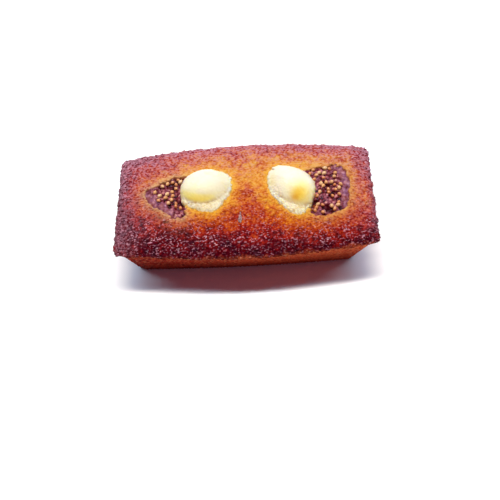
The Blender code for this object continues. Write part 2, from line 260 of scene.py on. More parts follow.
def side_levels():
    """Plan and height of each ring of the side, from just under the lip down to the base."""
    neck_share = LIP_DROP / RIM_HEIGHT
    neck = plan_between(RIM, BASE, neck_share, LIP_OVERHANG / 2)
    for ring in range(1, LIP_RINGS + 1):
        share = ring / LIP_RINGS
        yield plan_between(RIM, neck, share**1.3), RIM_HEIGHT - LIP_DROP * share
    for ring in range(1, SIDE_RINGS + 1):
        share = ring / SIDE_RINGS
        yield plan_between(neck, BASE, share), between(RIM_HEIGHT - LIP_DROP, BASE_EDGE_RADIUS, share)
    for ring in range(1, BASE_EDGE_RINGS + 1):
        turn = math.radians(90) * ring / BASE_EDGE_RINGS
        inset = BASE_EDGE_RADIUS * (1 - math.cos(turn))
        yield plan_between(BASE, BASE, 0, inset), BASE_EDGE_RADIUS * (1 - math.sin(turn))


# A square sheet of the crust's cells, with its border drawn straight down once for each ring
bpy.ops.mesh.primitive_grid_add(x_subdivisions=TOP_COLUMNS, y_subdivisions=TOP_ROWS, size=2)
cake = bpy.context.object
cake.name = cake.data.name = "cake_crumb"
levels = list(side_levels())
bpy.ops.object.mode_set(mode="EDIT")
bpy.ops.mesh.select_mode(type="EDGE")
bpy.ops.mesh.select_all(action="DESELECT")
bpy.ops.mesh.select_non_manifold()
for _ in levels:
    bpy.ops.mesh.extrude_region_move(TRANSFORM_OT_translate={"value": (0, 0, -1)})
bpy.ops.mesh.edge_face_add()
bpy.ops.mesh.select_all(action="SELECT")
bpy.ops.mesh.normals_make_consistent(inside=False)
bpy.ops.object.mode_set(mode="OBJECT")

# The sheet takes the crust's form, and each ring its own plan and height
square = read_places(cake) * MM
ring_of = np.round(-square[:, 2]).astype(int)
u, v = square[:, 0], square[:, 1]
on_top = ring_of == 0
places = np.empty_like(square)
places[on_top, 0], places[on_top, 1] = plan_place(u[on_top], v[on_top], **RIM)
for ring, (plan, height) in enumerate(levels, start=1):
    chosen = ring_of == ring
    places[chosen, 0], places[chosen, 1] = plan_place(u[chosen], v[chosen], **plan)
    places[chosen, 2] = height
top_x, top_y = places[on_top, 0], places[on_top, 1]
smooth_height = crust_height(top_x, top_y)
places[on_top, 2] = smooth_height + CRAG_DEPTH * wobble(top_x, top_y, 0, CRAG_SPACING, offset=20)

# The foot of the left end was pushed out a little as the cake left its tin
FOOT_SPREAD, FOOT_SPREAD_FROM, FOOT_SPREAD_RUN = 2.3, 25.0, 15.0
lowness = np.clip(1 - places[:, 2] / (RIM_HEIGHT - LIP_DROP), 0, 1) * (ring_of > 0)
places[:, 0] -= FOOT_SPREAD * lowness * np.clip((-places[:, 0] - FOOT_SPREAD_FROM) / FOOT_SPREAD_RUN, 0, 1)

# The rim and the lip under it stand out unevenly, less and less down to the neck
border = (np.abs(u) > 1 - 1e-6) | (np.abs(v) > 1 - 1e-6)
fade = np.clip(1 - ring_of / LIP_RINGS, 0, 1) * border
outward = np.stack([places[:, 0] / RIM["length"], places[:, 1] / RIM["ends"]], axis=1)
outward /= np.maximum(1e-9, np.linalg.norm(outward, axis=1))[:, None]
CRUMB_PUSH, CRUMB_SPACING = 0.42, 0.85
crumbs = CRUMB_PUSH * wobble(*places.T, CRUMB_SPACING, offset=50)
places[:, :2] += outward * (fade * (rim_push(places[:, 0], places[:, 1]) + crumbs))[:, None]

# The crumb gives way to the figs, and curls up a little round them
fig_loops = {"left": smooth_loop(FIG_LEFT), "right": smooth_loop(FIG_RIGHT)}
cream_loops = {"left": smooth_loop(CREAM_LEFT), "right": smooth_loop(CREAM_RIGHT)}
x, y = places[:, 0], places[:, 1]
fig_depth = np.maximum(*(depth_inside(loop, x, y) for loop in fig_loops.values()))
cream_depth = np.maximum(*(depth_inside(loop, x, y) for loop in cream_loops.values()))
POCKET_DEPTH, POCKET_WALL = 2.2, 0.7
POCKET_RAGGED, POCKET_RAGGED_SPACING = 0.6, 1.8
CURL_HEIGHT, CURL_WIDTH = 0.12, 1.2
fig_depth += POCKET_RAGGED * wobble(x, y, 0, POCKET_RAGGED_SPACING, offset=120)
places[:, 2] -= on_top * POCKET_DEPTH * np.clip(fig_depth / POCKET_WALL, 0, 1)
curl = np.exp(-((fig_depth + CURL_WIDTH / 2) / CURL_WIDTH) ** 2) * (fig_depth < 0)
places[:, 2] += on_top * CURL_HEIGHT * curl

# A small blister of browner crust between the two dollops
BLISTER_PLACE, BLISTER_REACH, BLISTER_HEIGHT = (0.9, 0.2), (3.4, 2.0), 0.35
blister = patch(x, y, BLISTER_PLACE, BLISTER_REACH) * on_top
places[:, 2] += BLISTER_HEIGHT * blister
write_places(cake, places)

# How far each place is from the edges of the top. What an edge does fades inwards, and is given as its
# amount at the edge and its reach in millimetres
HALF_LENGTH, HALF_WIDTH = 48, 26
depth_in = np.where(on_top, rim_depth(x, y)[0], 0)
inwards = {"rim": depth_in, "left": x + HALF_LENGTH, "right": HALF_LENGTH - x, "back": HALF_WIDTH - y}


def faded(edge, amount, reach):
    return amount * np.exp(-inwards[edge] / reach)


# How brown each place is, from 0 to 1: darkest along the front and its left corner, palest at the middle
# and beside the fillings, whose moisture kept the crumb round them from browning
PALEST, DARKEST = 0.20, 0.86
FRONT_BROWN, FRONT_SLANT, FRONT_FROM, FRONT_RUN = 0.73, 0.23, 8, 34
BLOTCH = 0.09
CREAM_HALO, FIG_HALO = 2.2, 1.6
front = (FRONT_BROWN - FRONT_SLANT * x / HALF_LENGTH) * np.clip((FRONT_FROM - y) / FRONT_RUN, 0, 1) ** 2
back = faded("back", 0.33, 8) * (0.45 + 0.8 * np.abs(x) / HALF_LENGTH)
blotches = BLOTCH * wobble(x, y, 0, 6.0, offset=80) + BLOTCH * wobble(x, y, 0, 2.4, offset=90)
cream_halo = np.exp(np.minimum(0, cream_depth) / CREAM_HALO)
fig_halo = np.exp(np.minimum(0, fig_depth) / FIG_HALO)
browning = PALEST + front + back
browning += faded("rim", 0.24, 3) + faded("left", 0.46, 15) + faded("right", 0.20, 10)
browning += 0.06 * patch(x, y, (2, -5), (9, 5)) + 0.25 * blister
browning = np.minimum(browning, DARKEST) + blotches
browning -= 0.2 * cream_halo + 0.1 * np.exp(np.minimum(0, fig_depth) / 4)

# Painted sheen: a rosy grazing reflection painted into the crust's colour, strongest at the back and the
# ends, and all but gone at the front
painted_sheen = faded("back", 1.25, 15) + faded("left", 0.5, 10) + faded("right", 0.5, 10)
painted_sheen -= 0.08 + 0.85 * painted_sheen * np.exp(-(((y + 24) / 10) ** 2)) * np.clip((x + 50) / 12, 0.15, 1)
painted_sheen += 0.18 * patch(x, y, (-47, -20), (8, 9))

# How thick the sugar glints lie, painted highlights over a glossy coat: more where the crust is brown, and
# fewer on the very rim of the front
glint_and_coat_density = 0.05 + 0.52 * np.clip((browning - 0.1) * 1.6, 0, 1)
glint_and_coat_density *= 1 - 0.55 * np.exp(-(((y + HALF_WIDTH) / 3.5) ** 2))

# Crumb relief: coarse grains on the crust and its lip, softer where it is pale, and fine pits where the
# tin held the sides
on_crust = np.clip(1.3 - ring_of / LIP_RINGS, 0, 1) * np.clip(0.6 + 1.0 * browning, 0, 1)
on_side = np.clip(ring_of / LIP_RINGS - 0.4, 0, 1) * (ring_of < len(levels) - 1)
group_points(cake, "crust", on_crust)
group_points(cake, "side", on_side)
GRAIN_DEPTH, GRAIN_SPACING = 0.45, 0.92
LUMP_DEPTH, LUMP_SPACING = 0.34, 1.5
PIT_DEPTH, PIT_SPACING = 0.3, 0.8
lumps = ruffle(cake, cloud_texture("lumps", LUMP_SPACING), LUMP_DEPTH, "crust")
grains = ruffle(cake, cell_texture("grains", GRAIN_SPACING), -GRAIN_DEPTH, "crust", middle=0.45)
pits = ruffle(cake, cell_texture("pits", PIT_SPACING), -PIT_DEPTH, "side", middle=0.45)

# Nothing of the crumb passes the solid that it stands for, and its base is flat
MARGIN, BASE_FLATNESS = 0.05, 0.12
solid_low, solid_high = (np.array(corner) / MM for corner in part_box("cake"))
places = read_places(cake)
places = np.clip(places, solid_low + MARGIN, solid_high - MARGIN)
places[places[:, 2] < BASE_FLATNESS, 2] = 0
write_places(cake, places)

# The line where the crust ends and the paler side starts wanders round the lip, counted in rings
RING_WANDER, RING_DROP_AT_ENDS = 0.9, 2.2
ring_line = np.where(on_top, -1.6 * depth_in, ring_of)
ring_line += RING_WANDER * (wobble(*places.T, 1.1, offset=30) + wobble(*places.T, 4.0, offset=35))
ring_line -= RING_DROP_AT_ENDS * np.clip(np.abs(x) / HALF_LENGTH, 0, 1) ** 8

# What the cake's material reads, each from 0 to 1
write_mask(cake, "browning", browning)
write_mask(cake, "cream_halo", cream_halo)
write_mask(cake, "fig_halo", fig_halo)
write_mask(cake, "pocket", fig_depth / 0.8 + 0.6)
write_mask(cake, "painted_sheen", painted_sheen * (0.8 + 0.3 * wobble(x, y, 0, 1.6, offset=70)))
write_mask(cake, "glint_and_coat_density", glint_and_coat_density)
write_mask(cake, "right_end", (x + 20) / 68)
write_mask(cake, "tin_side", (ring_line + 1.4) / 3.6)
write_mask(cake, "lip_line", np.exp(-(((ring_line - 1.4) / 2.0) ** 2)))
# The relief's height, which the material turns into painted shade in its hollows and creases
write_mask(cake, "grain", 0.5 + 0.9 * (grains + pits) + 0.3 * lumps)
write_mask(cake, "near_base", 1.1 - places[:, 2] / 12)
cake.data.shade_smooth()


def add_node(tree, kind, **settings):
    """A shader node, with its properties set, and its inputs by name where they are not properties."""
    node = tree.nodes.new("ShaderNode" + kind)
    for key, value in settings.items():
        if isinstance(value, bpy.types.NodeSocket):
            tree.links.new(value, node.inputs[key])
        elif hasattr(node, key):
            setattr(node, key, value)
        else:
            node.inputs[key].default_value = value
    return node


def new_material(name):
    """An empty Principled material, with its tree, its shader and its object coordinates."""
    material = bpy.data.materials.new(name)
    material.use_nodes = True
    tree = material.node_tree
    shader = tree.nodes["Principled BSDF"]
    here = tree.nodes.new("ShaderNodeTexCoord").outputs["Object"]
    return material, tree, shader, here


# The light that the lamps together throw on a level surface
LAMP_STRENGTH = 1.57


def linear(red, green, blue, light=1.0):
    """A colour as it is seen on screen, from 0 to 255, where this much of the lamps' light falls on it."""
    parts = (value / 255 for value in (red, green, blue))
    seen = (p / 12.92 if p <= 0.04045 else ((p + 0.055) / 1.055) ** 2.4 for p in parts)
    return tuple(value / (LAMP_STRENGTH * light) for value in seen) + (1,)


def ramp(tree, source, *stops):
    """A colour ramp of (position, colour) stops, read at a source."""
    node = tree.nodes.new("ShaderNodeValToRGB")
    elements = node.color_ramp.elements
    while len(elements) < len(stops):
        elements.new(0.5)
    for element, (position, colour) in zip(elements, stops):
        element.position = position
        element.color = colour
    tree.links.new(source, node.inputs["Fac"])
    return node.outputs["Color"]


def mix(tree, kind, share, a, b):
    """Two colours mixed, where a share or a colour may be a value or another node's output."""
    node = tree.nodes.new("ShaderNodeMix")
    node.data_type = "RGBA"
    node.blend_type = kind
    for socket, value in ((node.inputs[0], share), (node.inputs[6], a), (node.inputs[7], b)):
        if isinstance(value, bpy.types.NodeSocket):
            tree.links.new(value, socket)
        else:
            socket.default_value = value
    return node.outputs[2]


def math_node(tree, operation, a, b=0.0):
    node = tree.nodes.new("ShaderNodeMath")
    node.operation = operation
    for socket, value in ((node.inputs[0], a), (node.inputs[1], b)):
        if isinstance(value, bpy.types.NodeSocket):
            tree.links.new(value, socket)
        else:
            socket.default_value = value
    return node.outputs[0]


def attribute(tree, name, strength=None):
    """One of the piece's masks, times a strength if one is given."""
    node = tree.nodes.new("ShaderNodeAttribute")
    node.attribute_name = name
    mask = node.outputs["Fac"]
    return mask if strength is None else math_node(tree, "MULTIPLY", mask, strength)


def make_grain_group():
    """Fine food grain: a height for bumps, and a mask of specks. Scale is in grains to the metre."""
    group = bpy.data.node_groups.new("food grain", "ShaderNodeTree")
    group.interface.new_socket("Vector", in_out="INPUT", socket_type="NodeSocketVector")
    group.interface.new_socket("Scale", in_out="INPUT", socket_type="NodeSocketFloat")
    group.interface.new_socket("Height", in_out="OUTPUT", socket_type="NodeSocketFloat")
    group.interface.new_socket("Specks", in_out="OUTPUT", socket_type="NodeSocketFloat")
    start, end = group.nodes.new("NodeGroupInput"), group.nodes.new("NodeGroupOutput")
    vector, scale = start.outputs["Vector"], start.outputs["Scale"]
    cells = add_node(group, "TexVoronoi", Vector=vector, Scale=scale)
    clouds = add_node(group, "TexNoise", Vector=vector, Scale=scale, Detail=1.7, Roughness=0.5)
    rounded = math_node(group, "SUBTRACT", 1.0, cells.outputs["Distance"])
    height = math_node(group, "ADD", rounded, clouds.outputs["Fac"])
    bright = math_node(group, "SUBTRACT", clouds.outputs["Fac"], 0.5)
    specks = add_node(group, "Clamp", Value=math_node(group, "MULTIPLY_ADD", bright, 3.4)).outputs[0]
    group.links.new(height, end.inputs["Height"])
    group.links.new(specks, end.inputs["Specks"])
    return group


GRAIN = make_grain_group()


def grain(tree, here, per_metre):
    """The food grain's height and its specks, at this many grains to the metre."""
    node = tree.nodes.new("ShaderNodeGroup")
    node.node_tree = GRAIN
    tree.links.new(here, node.inputs["Vector"])
    node.inputs["Scale"].default_value = per_metre
    return node.outputs["Height"], node.outputs["Specks"]


def bump(tree, shader, height, distance):
    """Fine relief in the shading alone, this many millimetres deep."""
    node = tree.nodes.new("ShaderNodeBump")
    node.inputs["Strength"].default_value = 1.0
    node.inputs["Distance"].default_value = distance * MM
    tree.links.new(height, node.inputs["Height"])
    tree.links.new(node.outputs["Normal"], shader.inputs["Normal"])


def paint(piece, material):
    piece.data.materials.clear()
    piece.data.materials.append(material)


# The crust's patterns, in grains to the metre. The two finest are drawn out a little along the bar
FINE_GRAINS, COARSE_GRAINS, GLINT_PATCHES, GLINT_SPECKS = 1450, 620, 260, 1650
DRAWN_OUT = (0.72, 1, 1)


def make_crust():
    """Browned crumb: gold where it is least baked, then orange, red-brown and a burnt maroon, with painted
    sheen, glints and shade.
    """
    material, tree, shader, here = new_material("browned crust")
    drawn = add_node(tree, "VectorMath", operation="MULTIPLY")
    tree.links.new(here, drawn.inputs[0])
    drawn.inputs[1].default_value = DRAWN_OUT
    fine, specks = grain(tree, drawn.outputs["Vector"], FINE_GRAINS)
    coarse, coarse_specks = grain(tree, here, COARSE_GRAINS)
    glint_patches = grain(tree, here, GLINT_PATCHES)[1]
    glint_noise = grain(tree, drawn.outputs["Vector"], GLINT_SPECKS)[1]
    height = attribute(tree, "grain")
    brown = attribute(tree, "browning")

    # The baked tone, with painted shade a little darker in the hollows of the grain
    uneven = math_node(tree, "MULTIPLY", math_node(tree, "SUBTRACT", coarse_specks, 0.5), 0.14)
    relief_shade = math_node(tree, "MULTIPLY", math_node(tree, "SUBTRACT", height, 0.5), -0.3)
    depth = math_node(tree, "ADD", math_node(tree, "ADD", brown, uneven), relief_shade)
    baked = ramp(
        tree, depth,
        (0.0, linear(250, 190, 60)), (0.2, linear(244, 156, 34)), (0.4, linear(216, 88, 14)),
        (0.6, linear(172, 30, 16)), (0.8, linear(108, 0, 18)), (1.0, linear(66, 0, 26)),
    )

    # The painted sheen over it, a rosy lavender reflection, and the paler crumb beside the figs and the
    # cream
    sheen = ramp(tree, specks, (0.3, (0.25, 0.25, 0.25, 1)), (0.75, (1, 1, 1, 1)))
    sheen = math_node(tree, "MULTIPLY", sheen, attribute(tree, "painted_sheen"))
    with_painted_sheen = mix(tree, "MIX", sheen, baked, linear(216, 150, 168))
    right_end = attribute(tree, "right_end")
    by_figs = ramp(tree, right_end, (0, linear(234, 192, 136)), (0.7, linear(232, 172, 98)))
    tan = mix(tree, "MIX", attribute(tree, "fig_halo", 0.85), with_painted_sheen, by_figs)
    cream_halo = attribute(tree, "cream_halo")
    gold = mix(tree, "MIX", math_node(tree, "MULTIPLY", cream_halo, 0.7), tan, linear(255, 186, 50))
    beside_cream = math_node(tree, "MULTIPLY", math_node(tree, "POWER", cream_halo, 6.0), 0.6)
    gold = mix(tree, "MIX", beside_cream, gold, linear(255, 224, 120))

    # Painted shade in the hollows of the grain, then the sugar's glints, painted highlights in their
    # patches
    glint_mask = ramp(tree, glint_noise, (0.62, (0, 0, 0, 1)), (0.8, (0.35, 0.35, 0.35, 1)), (0.95, (1, 1, 1, 1)))
    hollow_shade = ramp(tree, specks, (0.1, (0.66, 0.28, 0.34, 1)), (0.5, (1, 1, 1, 1)))
    hollow_shade_share = add_node(tree, "Clamp", Value=math_node(tree, "MULTIPLY", brown, 2.4)).outputs[0]
    with_hollow_shade = mix(tree, "MULTIPLY", hollow_shade_share, gold, hollow_shade)
    clustered = math_node(tree, "ADD", math_node(tree, "MULTIPLY", glint_patches, 0.8), 0.35)
    shown = math_node(tree, "MULTIPLY", glint_mask, attribute(tree, "glint_and_coat_density"))
    shown = math_node(tree, "MULTIPLY", shown, clustered)
    painted_glint_tone = ramp(tree, brown, (0.25, linear(255, 190, 140)), (0.65, linear(248, 170, 188)))
    with_painted_glints = mix(tree, "MIX", shown, with_hollow_shade, painted_glint_tone)
    # Painted shade: the pocket walls round the figs darkened to a deep maroon
    with_painted_glints = mix(tree, "MIX", attribute(tree, "pocket", 0.9), with_painted_glints, linear(150, 44, 38))

    # The sides, where the tin held the crumb: painted shade in their pits, paler under the lip, painted
    # light paling the right end, darker at the base
    tin_tone = ramp(
        tree, math_node(tree, "ADD", math_node(tree, "MULTIPLY", height, 0.8), uneven),
        (0.1, linear(128, 20, 24)), (0.5, linear(197, 60, 37)), (0.9, linear(236, 113, 62)),
    )
    # Painted light: the right end of the side paled
    tin_tone = mix(tree, "MIX", attribute(tree, "right_end", 0.8), tin_tone, linear(252, 124, 70, 0.9))
    crumbs = mix(tree, "MIX", attribute(tree, "lip_line", 0.6), tin_tone, linear(250, 140, 82))
    # Painted highlights: the sugar's glints on the crumbs of the side
    crumbs = mix(tree, "MIX", math_node(tree, "MULTIPLY", glint_mask, 0.5), crumbs, linear(252, 168, 116, 0.95))
    # Painted shade in the hollows of the side's grain
    crumbs = mix(tree, "MULTIPLY", 1.0, crumbs, hollow_shade)
    darker_base = mix(tree, "MULTIPLY", attribute(tree, "near_base", 0.8), crumbs, (0.34, 0.07, 0.09, 1))

    # All of it, with painted shade darkening the creases
    colour = mix(tree, "MIX", attribute(tree, "tin_side"), with_painted_glints, darker_base)
    crease_shade = ramp(tree, height, (0.1, (0.55, 0.40, 0.38, 1)), (0.45, (1, 1, 1, 1)))
    colour = mix(tree, "MULTIPLY", 0.5, colour, crease_shade)
    tree.links.new(colour, shader.inputs["Base Color"])
    rough = mix(tree, "MIX", attribute(tree, "tin_side"), (0.45, 0.45, 0.45, 1), (0.75, 0.75, 0.75, 1))
    tree.links.new(rough, shader.inputs["Roughness"])
    shader.inputs["Specular IOR Level"].default_value = 0.02
    tree.links.new(math_node(tree, "MULTIPLY", shown, 0.6), shader.inputs["Coat Weight"])
    shader.inputs["Coat Roughness"].default_value = 0.15
    bump(tree, shader, math_node(tree, "ADD", fine, math_node(tree, "MULTIPLY", coarse, 0.8)), 0.22)
    return material


paint(cake, make_crust())
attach(cake, "root")
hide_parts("cake")

# The figs: two pieces cut from ripe figs and pressed into the batter, cut side up. The flesh dried to a
# sticky, lumpy pulp, with a smoother band of flesh along the skin side, and sank a little in the crumb.

FIG_MIDDLES = {"left": (-29.1, 0.2), "right": (32.1, -0.4)}
FIG_SKIN_TURNS = {"left": 222, "right": 8}
FIG_SPOKES, FIG_RINGS, FIG_WALL_RINGS = 150, 44, 4
FIG_SINK, FIG_THICKNESS = 0.5, 3.6
FIG_SPREAD = 0.9
FIG_SKIN_WIDTH, FIG_SKIN_RAGGED = 3.6, 0.7
# Hollows, each at (x, y) with its reach: sunk into the flesh, and painted dark as shade
FIG_PITS = {
    "left": ((-25.6, 6.6, 2.6), (-23.2, -2.6, 1.2)),
    "right": ((25.6, -6.2, 1.8), (30.2, -8.6, 1.6), (31.4, 1.4, 1.3)),
}
FIG_PIT_SINK = 1.1
PULP_DEPTH, PULP_SPACING = 0.6, 2.4
KNOB_DEPTH, KNOB_SPACING = 0.6, 1.5
FOLD_DEPTH, FOLD_SPACING = 0.6, 0.9


def reach_of(loop, middle, angles):
    """How far an outline is from a middle, at each angle."""
    spokes = loop - np.array(middle)
    bearing, reach = np.arctan2(spokes[:, 1], spokes[:, 0]), np.hypot(spokes[:, 0], spokes[:, 1])
    order = np.argsort(bearing)
    return np.interp(angles, bearing[order], reach[order], period=2 * math.pi)


def degrees_off(x, y, middle, direction):
    """How far a place's bearing from a middle is from a direction, from 0 to 180 degrees."""
    bearing = np.degrees(np.arctan2(y - middle[1], x - middle[0])) - direction
    return np.abs((bearing + 180) % 360 - 180)


def skin_share(side, x, y):
    """1 on the band of flesh along a fig's skin, which is on one side of it, and 0 on the pulp."""
    facing = np.clip((80 - degrees_off(x, y, FIG_MIDDLES[side], FIG_SKIN_TURNS[side])) / 20, 0, 1)
    edge = FIG_SKIN_WIDTH + FIG_SKIN_RAGGED * wobble(x, y, 0, 1.8, offset=140)
    return facing * np.clip((edge - depth_inside(fig_loops[side], x, y)) / 0.9, 0, 1)


def pit_share(side, x, y):
    """1 at the middle of a fig's dark hollows, fading to 0 round them."""
    pits = [patch(x, y, (pit_x, pit_y), (reach, reach)) for pit_x, pit_y, reach in FIG_PITS[side]]
    return np.maximum.reduce(pits)


def fig_height(side, x, y):
    """Height of a fig's face without its knobs: lumpy pulp, with a smoother, higher skin band."""
    pulp = 1 - skin_share(side, x, y)
    lumps = PULP_DEPTH * wobble(x, y, 0, PULP_SPACING, offset=60) * (0.25 + 0.75 * pulp)
    return crust_height(x, y) - FIG_SINK * (0.4 + 0.6 * pulp) + lumps - FIG_PIT_SINK * pit_share(side, x, y)


def model_disc(name, spokes, rings, wall_rings):
    """A closed disc of rings with its edge drawn down, and each point's share of the way out and down."""
    bpy.ops.mesh.primitive_circle_add(vertices=spokes, radius=1, fill_type="NGON")
    disc = bpy.context.object
    disc.name = disc.data.name = name
    bpy.ops.object.mode_set(mode="EDIT")
    bpy.ops.mesh.select_mode(type="FACE")
    for _ in range(rings - 1):
        bpy.ops.mesh.inset(thickness=1 / rings)
    bpy.ops.mesh.poke()
    bpy.ops.mesh.select_mode(type="EDGE")
    bpy.ops.mesh.select_all(action="DESELECT")
    bpy.ops.mesh.select_non_manifold()
    for _ in range(wall_rings):
        bpy.ops.mesh.extrude_region_move(TRANSFORM_OT_translate={"value": (0, 0, -1)})
    bpy.ops.mesh.edge_face_add()
    bpy.ops.mesh.select_all(action="SELECT")
    bpy.ops.mesh.normals_make_consistent(inside=False)
    bpy.ops.object.mode_set(mode="OBJECT")
    flat = read_places(disc) * MM
    outward, angle = np.hypot(flat[:, 0], flat[:, 1]), np.arctan2(flat[:, 1], flat[:, 0])
    return disc, outward, angle, -flat[:, 2] / wall_rings


def model_fig(side):
    """A disc pulled out to the fig's outline, lumpy on top, with its edge down in the crumb."""
    loop, middle = fig_loops[side], FIG_MIDDLES[side]
    fig, share, angle, drop = model_disc("fig_pulp_" + side, FIG_SPOKES, FIG_RINGS, FIG_WALL_RINGS)
    reach = share * (reach_of(loop, middle, angle) + FIG_SPREAD)
    x, y = middle[0] + reach * np.cos(angle), middle[1] + reach * np.sin(angle)
    floor = crust_height(*middle) - FIG_SINK - FIG_THICKNESS
    z = between(fig_height(side, x, y), floor, drop)
    write_places(fig, np.stack([x, y, z], axis=1))

    skin = skin_share(side, x, y)
    group_points(fig, "pulp", (1 - 0.4 * skin) * (drop == 0))
    knobs = ruffle(fig, cell_texture("knobs", KNOB_SPACING), -KNOB_DEPTH, "pulp")
    folds = ruffle(fig, cloud_texture("folds", FOLD_SPACING), FOLD_DEPTH, "pulp")
    write_mask(fig, "skin", skin)
    write_mask(fig, "pit", pit_share(side, x, y))
    write_mask(fig, "edge", np.exp(-((depth_inside(loop, x, y) / 0.7) ** 2)))
    write_mask(fig, "knob", 0.5 + knobs + 0.4 * folds)
    fig.data.shade_smooth()
    return fig


def make_pulp():
    """Baked fig flesh: dark and sticky between the seeds, with painted shade in the hollows of its lumps
    and painted light on their tops, duller and blotched with brown by the skin.
    """
    material, tree, shader, here = new_material("fig pulp")
    fine, specks = grain(tree, here, 800)
    # The flesh's tone follows its relief: painted shade in the hollows, painted light on the knobs
    tone = math_node(tree, "ADD", attribute(tree, "knob", 0.75), math_node(tree, "MULTIPLY", specks, 0.25))
    pulp = ramp(
        tree, tone,
        (0.26, linear(48, 0, 6)), (0.42, linear(116, 20, 22)), (0.54, linear(138, 62, 80)),
        (0.7, linear(202, 114, 110)), (0.9, linear(255, 196, 182)),
    )
    band = ramp(
        tree, tone,
        (0.25, linear(84, 22, 36)), (0.46, linear(148, 88, 118)), (0.8, linear(222, 154, 160)),
    )
    blotches = math_node(tree, "MULTIPLY", grain(tree, here, 420)[1], 0.75)
    band = mix(tree, "MIX", blotches, band, linear(146, 64, 48))
    flesh = mix(tree, "MIX", attribute(tree, "skin"), pulp, band)
    # Painted shade: the hollows darkened almost to black
    flesh = mix(tree, "MIX", attribute(tree, "pit", 0.95), flesh, linear(52, 0, 8))
    # Painted shade along the edge where the fig meets the crumb
    flesh = mix(tree, "MIX", attribute(tree, "edge", 0.4), flesh, linear(100, 30, 34))
    tree.links.new(flesh, shader.inputs["Base Color"])
    shader.inputs["Roughness"].default_value = 0.25
    shader.inputs["Specular IOR Level"].default_value = 0.22
    shader.inputs["Specular Tint"].default_value = (1.0, 0.62, 0.82, 1)
    bump(tree, shader, fine, 0.12)
    return material


# The seeds of each fig: hard golden teardrops under two millimetres long, lying in the pulp at all
# angles, thick over the middle and none along the skin.

SEED_LENGTH, SEED_WIDTH, SEED_TAPER = 1.75, 1.42, 0.4
SEED_SPACING = 1.5
SEED_SHOWS = 0.42
SEED_FROM_EDGE, SEED_FROM_CREAM = 0.6, 0.7
SEED_COUNTS = {"left": 19, "right": 34}
SEED_FRONT = {"left": -5.5, "right": -12}
SEED_DRAWS = {"left": 7, "right": 11}
SEED_TRIES = 6000


def seed_spots(side):
    """Random spots on the pulp, apart from each other, clear of the skin and the cream."""
    loop = fig_loops[side]
    draw = random.Random(SEED_DRAWS[side])
    low, high = loop.min(axis=0), loop.max(axis=0)
    tries = np.array([[draw.random() for _ in range(5)] for _ in range(SEED_TRIES)])
    x, y = between(low[0], high[0], tries[:, 0]), between(low[1], high[1], tries[:, 1])
    allowed = depth_inside(loop, x, y) > SEED_FROM_EDGE
    allowed &= depth_inside(cream_loops[side], x, y) < -SEED_FROM_CREAM
    allowed &= (skin_share(side, x, y) < 0.2) & (y > SEED_FRONT[side])
    spots = []
    for index in np.flatnonzero(allowed):
        if all(math.hypot(x[index] - spot[0], y[index] - spot[1]) > SEED_SPACING for spot in spots):
            spots.append((x[index], y[index], *tries[index, 2:]))
        if len(spots) == SEED_COUNTS[side]:
            break
    return spots


def model_seeds(side, fig):
    """One seed is modelled and copied to each spot, and the copies are joined."""
    bpy.ops.mesh.primitive_uv_sphere_add(segments=10, ring_count=7, radius=0.5)
    first = bpy.context.object
    body = read_places(first) * MM
    body[:, :2] *= (SEED_WIDTH * (1 - SEED_TAPER * np.maximum(0, 2 * body[:, 2])))[:, None]
    body[:, 2] *= SEED_LENGTH
    write_places(first, body)
    heights = read_places(fig)
    seeds = []
    for x, y, turn, tilt, size in seed_spots(side):
        near = np.hypot(heights[:, 0] - x, heights[:, 1] - y)
        ground = heights[near < 0.5, 2].max()
        seed = first.copy()
        seed.data = first.data.copy()
        bpy.context.collection.objects.link(seed)
        tipped = Matrix.Rotation(math.radians(40 + 90 * tilt), 4, "X")
        lie = Matrix.Rotation(turn * 2 * math.pi, 4, "Z") @ tipped
        scale = Matrix.Scale(0.85 + 0.3 * size, 4)
        seed.data.transform(Matrix.Translation(Vector((x, y, ground + SEED_SHOWS)) * MM) @ lie @ scale)
        write_mask(seed, "tone", np.full(len(seed.data.vertices), size))
        seeds.append(seed)
    bpy.data.objects.remove(first)
    bpy.ops.object.select_all(action="DESELECT")
    for seed in seeds:
        seed.select_set(True)
    bpy.context.view_layer.objects.active = seeds[0]
    bpy.ops.object.join()
    joined = bpy.context.object
    joined.name = joined.data.name = "fig_seeds_" + side
    joined.data.shade_smooth()
    return joined


def make_seed_shell():
    """Toasted seed shell, golden tan, each seed a little lighter or darker."""
    material, tree, shader, here = new_material("fig seed")
    fine, specks = grain(tree, here, 1800)
    tone = math_node(tree, "ADD", attribute(tree, "tone", 0.7), math_node(tree, "MULTIPLY", specks, 0.3))
    colour = ramp(tree, tone, (0.1, linear(238, 140, 80)), (0.5, linear(255, 178, 110)),
                  (0.9, linear(255, 210, 156)))
    tree.links.new(colour, shader.inputs["Base Color"])
    shader.inputs["Roughness"].default_value = 0.3
    bump(tree, shader, fine, 0.04)
    return material


pulp_finish, seed_finish = make_pulp(), make_seed_shell()
for side in ("left", "right"):
    fig = model_fig(side)
    paint(fig, pulp_finish)
    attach(fig, "root")
    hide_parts("fig_" + side)
    seeds = model_seeds(side, fig)
    paint(seeds, seed_finish)
    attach(seeds, "root")

# The cream: two spoonfuls of cream cheese set on the batter against the figs. Each one baked to a smooth
# ball with a tender skin, over a low foot that spread and dried to a rough, crumbly edge.

